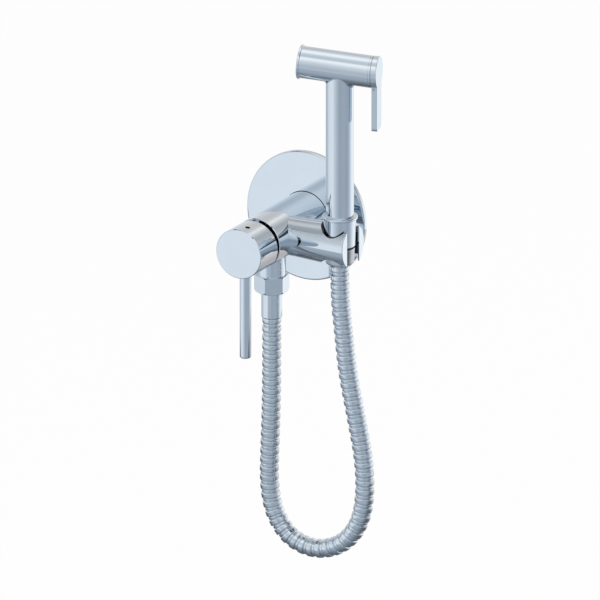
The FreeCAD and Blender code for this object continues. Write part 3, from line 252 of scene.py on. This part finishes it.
def buildHose():
    # one circle after another along the route, so the ribs' edges stay crisp
    ribs, steps, sides, section = hose["ribs"], hose["steps"], hose["sides"], hose["section"]
    last = ribs * steps
    spots, length = evenSpots(routeLine(hose["route"], hose["smoothness"]), last)
    circles = [(rib * steps + along, radius) for rib in range(ribs) for along, radius in section]
    circles.append((last, section[0][1]))
    heading = (spots[1] - spots[0]).normalized()
    side = heading.cross(Vector((0, 1, 0))).normalized()
    vertices = []
    for place, radius in circles:
        turned = (spots[min(place + 1, last)] - spots[max(place - 1, 0)]).normalized()
        side = heading.rotation_difference(turned) @ side
        heading = turned
        for index in range(sides):
            spoke = Quaternion(heading, 2 * math.pi * index / sides) @ side
            vertices.append(spots[place] + spoke * radius)
    faces = [tuple(range(sides))[::-1], tuple(range(len(vertices) - sides, len(vertices)))]
    for row in range(0, len(vertices) - sides, sides):
        for index in range(sides):
            after = (index + 1) % sides
            faces.append((row + index, row + after, row + sides + after, row + sides + index))
    skin = bpy.data.meshes.new("ribbedHose")
    skin.from_pydata(vertices, [], faces)
    skin.shade_smooth()
    piece = newObject("ribbed_hose", skin)
    piece.data.materials.append(finishes["rolledChromeStrip"])
    return piece, spots[::hose["pathStep"]], length


ribbedHose, hoseLine, hoseLength = buildHose()
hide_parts("hose", "hose_inner_tube")
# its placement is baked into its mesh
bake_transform(ribbedHose)
print("hose: %.4f m" % hoseLength)


# The floor, the world and the light tent.
studio = {
    "floorHeight": -0.62,
    "floorReach": 14.0,
    "floorWhite": 0.93,  # how much of the floor is plain white to the eye; the rest takes the shadow
    "skyLight": 0.55,  # the world's strength as a light; to the eye it is white
    "tentRadius": 1.5,
    "tentSides": 96,
    "tentTop": 1.4,
    "tentBase": -0.6,
    "tentGlow": 1.1,
    # the wall's tones, in degrees round the tent from the front towards the holder's side
    "wallTones": [(-180, "#EEF2F5"), (-150, "#E2E7EB"), (-108, "#B4BBC2"), (-86, "#C1C8CF"),
                  (-66, "#E2E8ED"), (-28, "#E6ECF1"), (-8, "#CAD1D9"), (14, "#AEB7C0"),
                  (28, "#A0AAB4"), (60, "#A6AFB9"), (88, "#9DA6B1"), (108, "#B7C0CA"),
                  (128, "#E8EDF1"), (145, "#FFFFFF"), (180, "#EEF2F5")],
    # the tones that take over higher up, each from one height to the next
    "wallLevels": [
        (0.0, 0.5, [(-180, "#E6E3E0"), (-172, "#CFCCCA"), (-160, "#CBC7C4"), (-150, "#D5D2CF"),
                    (-110, "#CBD0D4"), (-60, "#D0D5D9"), (-34, "#CACFD3"), (0, "#CED3D8"),
                    (28, "#D8DDE1"), (60, "#CBD1D6"), (100, "#7C8288"), (120, "#7C8288"),
                    (145, "#BABDC0"), (157, "#AFB2B4"), (162, "#BDBDBD"), (168, "#D5D3D1"),
                    (176, "#ECE9E6"), (180, "#E6E3E0")]),
        (0.6, 1.4, [(-180, "#F0EEEC"), (-172, "#D3D0CE"), (-160, "#CFCBC8"), (-150, "#D5D2CF"),
                    (-60, "#C8CDD1"), (-34, "#A8ADB1"), (-12, "#F4F7F9"), (0, "#FDFEFF"),
                    (50, "#EFF3F6"), (90, "#62686E"), (125, "#62686E"), (157, "#AFB2B4"),
                    (168, "#D5D3D1"), (176, "#F4F2F0"), (180, "#F0EEEC")])],
    # the roof's and the base's tones, from the front to the wall's side
    "roofTones": [(0.0, "#FDFEFF"), (0.15, "#F9FBFC"), (0.24, "#CAD0D5"), (0.32, "#CAD0D5"),
                  (0.42, "#D6DCE0"), (0.49, "#FFFFFF"), (0.6, "#FFFFFF"), (0.7, "#DDE1E4"),
                  (1.0, "#DDE1E4")],
    "baseTones": [(0.0, "#AFB7C0"), (0.3, "#A2ABB5"), (0.42, "#7A828B"), (0.5, "#5C6066"),
                  (0.6, "#666A70"), (0.75, "#B4B2B2"), (0.85, "#D8D0CC"), (1.0, "#D2CCCA")],
    # what the roof's tones are multiplied by, from the left to the right
    "roofFade": [(0.0, "#5A5E62"), (0.13, "#5A5E62"), (0.19, "#CFCFCF"), (0.28, "#D0D0D0"),
                 (0.38, "#FFFFFF"), (0.66, "#FFFFFF"), (0.76, "#5A5E62"), (1.0, "#5A5E62")],
}


def stageSheet(name, vertices, faces, material):
    sheet = bpy.data.meshes.new(name)
    sheet.from_pydata(vertices, [], faces)
    piece = newObject(name, sheet)
    piece.data.materials.append(material)
    return piece


def glowMaterial(name, tones, goesRound=False, levels=(), fade=None):
    # a lit sheet: its tones go round the tent or from the front to the back, and the levels' tones
    # take over upwards; a colour mix has its two colours in sockets 6 and 7, and its result in 2
    material, tree = startMaterial(name)
    radius = studio["tentRadius"]
    place = addNode(tree, "ShaderNodeSeparateXYZ", None,
                    {"Vector": addNode(tree, "ShaderNodeTexCoord").outputs["Object"]}).outputs
    if goesRound:
        front = addNode(tree, "ShaderNodeMath", {"operation": "MULTIPLY"}, {0: place["Y"], 1: -1.0})
        angle = addNode(tree, "ShaderNodeMath", {"operation": "ARCTAN2"},
                        {0: place["X"], 1: front.outputs["Value"]})
        share = addNode(tree, "ShaderNodeMapRange", None,
                        {"Value": angle.outputs["Value"], "From Min": -math.pi, "From Max": math.pi})
    else:
        share = addNode(tree, "ShaderNodeMapRange", None,
                        {"Value": place["Y"], "From Min": -radius, "From Max": radius})
    along = {"Fac": share.outputs["Result"]}
    glow = addNode(tree, "ShaderNodeValToRGB", None, along, tones).outputs["Color"]
    for low, high, levelTones in levels:
        height = addNode(tree, "ShaderNodeMapRange", None,
                         {"Value": place["Z"], "From Min": low, "From Max": high})
        above = addNode(tree, "ShaderNodeValToRGB", None, along, levelTones)
        glow = addNode(tree, "ShaderNodeMix", {"data_type": "RGBA"},
                       {"Factor": height.outputs["Result"], 6: glow, 7: above.outputs["Color"]}).outputs[2]
    if fade:
        width = addNode(tree, "ShaderNodeMapRange", None,
                        {"Value": place["X"], "From Min": -radius, "From Max": radius})
        shade = addNode(tree, "ShaderNodeValToRGB", None, {"Fac": width.outputs["Result"]}, fade)
        glow = addNode(tree, "ShaderNodeMix", {"data_type": "RGBA", "blend_type": "MULTIPLY"},
                       {"Factor": 1.0, 6: glow, 7: shade.outputs["Color"]}).outputs[2]
    light = addNode(tree, "ShaderNodeEmission", None, {"Color": glow, "Strength": studio["tentGlow"]})
    addNode(tree, "ShaderNodeOutputMaterial", None, {"Surface": light.outputs["Emission"]})
    return material


def shareOfTurn(tones):
    return [((degrees + 180) / 360, tone) for degrees, tone in tones]


def buildTent():
    # it shows only in reflections, so the metal has something with tone to mirror
    radius, sides = studio["tentRadius"], studio["tentSides"]
    angles = [2 * math.pi * index / sides for index in range(sides)]
    base = [(radius * math.sin(angle), -radius * math.cos(angle), studio["tentBase"]) for angle in angles]
    roof = [(x, y, studio["tentTop"]) for x, y, z in base]
    disc = [tuple(range(sides))]
    quads = [(i, (i + 1) % sides, sides + (i + 1) % sides, sides + i) for i in range(sides)]
    levels = [(low, high, shareOfTurn(tones)) for low, high, tones in studio["wallLevels"]]
    canvas = glowMaterial("litCanvasWall", shareOfTurn(studio["wallTones"]), True, levels)
    sheets = [
        stageSheet("tentWall", base + roof, quads, canvas),
        stageSheet("tentRoof", roof, disc,
                   glowMaterial("litCanvasRoof", studio["roofTones"], fade=studio["roofFade"])),
        stageSheet("tentBase", base, disc, glowMaterial("litCanvasBase", studio["baseTones"]))]
    for sheet in sheets:
        sheet.visible_camera = False
        sheet.visible_diffuse = False
        sheet.visible_transmission = False
        sheet.visible_shadow = False


def seenByEye(tree):
    # 1 for what the camera sees, also in metal or through glass, and 0 for what only gives light
    rays = addNode(tree, "ShaderNodeLightPath").outputs
    mirrored = addNode(tree, "ShaderNodeMath", {"operation": "MAXIMUM"},
                       {0: rays["Is Camera Ray"], 1: rays["Is Glossy Ray"]})
    seen = addNode(tree, "ShaderNodeMath", {"operation": "MAXIMUM"},
                   {0: mirrored.outputs["Value"], 1: rays["Is Transmission Ray"]})
    return seen.outputs["Value"]


def buildFloor():
    material, tree = startMaterial("palePaint")
    paint = addNode(tree, "ShaderNodeBsdfDiffuse", None, {"Color": linear("#FFFFFF"), "Roughness": 0.4})
    white = addNode(tree, "ShaderNodeEmission", None, {"Color": linear("#FFFFFF"), "Strength": 1.0})
    share = addNode(tree, "ShaderNodeMath", {"operation": "MULTIPLY"},
                    {0: seenByEye(tree), 1: studio["floorWhite"]})
    mix = addNode(tree, "ShaderNodeMixShader", None,
                  {0: share.outputs["Value"], 1: paint.outputs["BSDF"], 2: white.outputs["Emission"]})
    addNode(tree, "ShaderNodeOutputMaterial", None, {"Surface": mix.outputs["Shader"]})
    reach, height = studio["floorReach"], studio["floorHeight"]
    corners = [(-reach, -reach, height), (reach, -reach, height), (reach, reach, height),
               (-reach, reach, height)]
    stageSheet("floor", corners, [(0, 1, 2, 3)], material)


def buildWorld():
    world = bpy.data.worlds.new("paleStudio")
    world.use_nodes = True
    tree = world.node_tree
    tree.nodes.clear()
    strength = addNode(tree, "ShaderNodeMapRange", None,
                       {"Value": seenByEye(tree), "To Min": studio["skyLight"], "To Max": 1.0})
    sky = addNode(tree, "ShaderNodeBackground", None,
                  {"Color": linear("#FFFFFF"), "Strength": strength.outputs["Result"]})
    addNode(tree, "ShaderNodeOutputWorld", None, {"Surface": sky.outputs["Background"]})
    bpy.context.scene.world = world


lamps = {
    "keyPanel": {"spot": (-1.7, -2.2, 2.1), "size": 1.6, "watts": 32},
    "fillPanel": {"spot": (2.3, -1.2, 1.2), "size": 1.6, "watts": 14},
    "rearPanel": {"spot": (0.4, 2.4, 1.8), "size": 1.6, "watts": 14},
}
lampAim = Vector((0.02, -0.05, -0.05))


def aimAt(thing, spot):
    thing.rotation_euler = (spot - thing.location).to_track_quat("-Z", "Y").to_euler()


def buildLamps():
    for name, look in lamps.items():
        light = bpy.data.lights.new(name, "AREA")
        light.shape = "DISK"
        light.size = look["size"]
        light.energy = look["watts"]
        lamp = newObject(name, light)
        lamp.location = look["spot"]
        aimAt(lamp, lampAim)


# A long lens from far off, since the photograph shows hardly any perspective.
view = {
    "aim": (0.0210, -0.050, -0.0520),
    "towards": (0.4624, -0.8241, 0.3272),  # from the shower to the camera
    "distance": 14.0,
    "lens": 1080.8,
    "sensor": 36.0,
    "farthest": 60.0,
}


def buildCamera():
    lens = bpy.data.cameras.new("photoCamera")
    lens.lens = view["lens"]
    lens.sensor_width = view["sensor"]
    lens.clip_end = view["farthest"]
    camera = newObject("photoCamera", lens)
    camera.location = Vector(view["aim"]) + Vector(view["towards"]) * view["distance"]
    aimAt(camera, Vector(view["aim"]))
    bpy.context.scene.camera = camera


buildFloor()
buildTent()
buildWorld()
buildLamps()
buildCamera()
bpy.context.scene.view_settings.view_transform = "Standard"
print("studio and camera ready")
